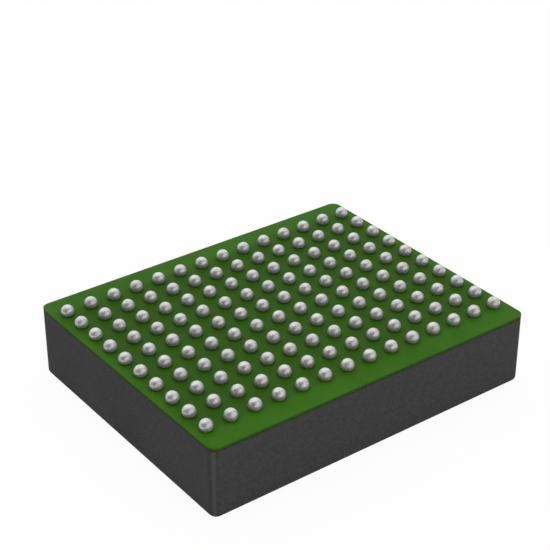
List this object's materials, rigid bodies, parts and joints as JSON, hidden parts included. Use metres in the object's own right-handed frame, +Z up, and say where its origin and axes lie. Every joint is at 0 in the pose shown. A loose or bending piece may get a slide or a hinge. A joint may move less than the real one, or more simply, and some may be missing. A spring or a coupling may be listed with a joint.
{
  "type": "ball grid array chip",
  "caption": "Moulded ball grid array chip: black block under a thin green laminate with a full grid of solder balls facing up, die, bond wires and capacitors moulded in.",
  "frame": {"origin": "middle of the flat moulded face that the package lies on", "axes": "+X along the long side, +Y along the short side, +Z up towards the solder balls"},
  "size_m": [0.0112, 0.009, 0.0026],
  "materials": {
    "moulding_compound": "matte",
    "laminate": "satin",
    "ball_side_mask": "satin",
    "die_side_mask": "satin",
    "copper": "satin",
    "gold_plated_copper": "satin",
    "silicon": "gloss",
    "die_attach": "matte",
    "gold": "polished",
    "capacitor_ceramic": "satin",
    "tin_plate": "satin",
    "inner_solder": "satin",
    "solder": "satin"
  },
  "bodies": {
    "root": {"mould_cap": "moulding_compound", "laminate_core": "laminate", "ball_side_solder_mask": "ball_side_mask", "die_side_solder_mask": "die_side_mask", "ball_lands": "copper", "laminate_vias": "copper", "ground_paddle": "copper", "signal_traces": "gold_plated_copper", "supply_planes": "copper", "ground_strips": "copper", "silicon_die": "silicon", "die_attach_film": "die_attach", "bond_wires_back": "gold", "bond_wires_right": "gold", "bond_wires_front": "gold", "bond_wires_left": "gold", "capacitor_1_ceramic": "capacitor_ceramic", "capacitor_1_terminations": "tin_plate", "capacitor_1_solder": "inner_solder", "capacitor_2_ceramic": "capacitor_ceramic", "capacitor_2_terminations": "tin_plate", "capacitor_2_solder": "inner_solder", "capacitor_3_ceramic": "capacitor_ceramic", "capacitor_3_terminations": "tin_plate", "capacitor_3_solder": "inner_solder", "capacitor_4_ceramic": "capacitor_ceramic", "capacitor_4_terminations": "tin_plate", "capacitor_4_solder": "inner_solder", "solder_balls_row_a": "solder", "solder_balls_row_b": "solder", "solder_balls_row_c": "solder", "solder_balls_row_d": "solder", "solder_balls_row_e": "solder", "solder_balls_row_f": "solder", "solder_balls_row_g": "solder", "solder_balls_row_h": "solder", "solder_balls_row_j": "solder", "solder_balls_row_k": "solder", "solder_balls_row_l": "solder", "solder_balls_row_m": "solder", "solder_balls_row_n": "solder", "solder_balls_row_p": "solder"}
  },
  "joints": []
}
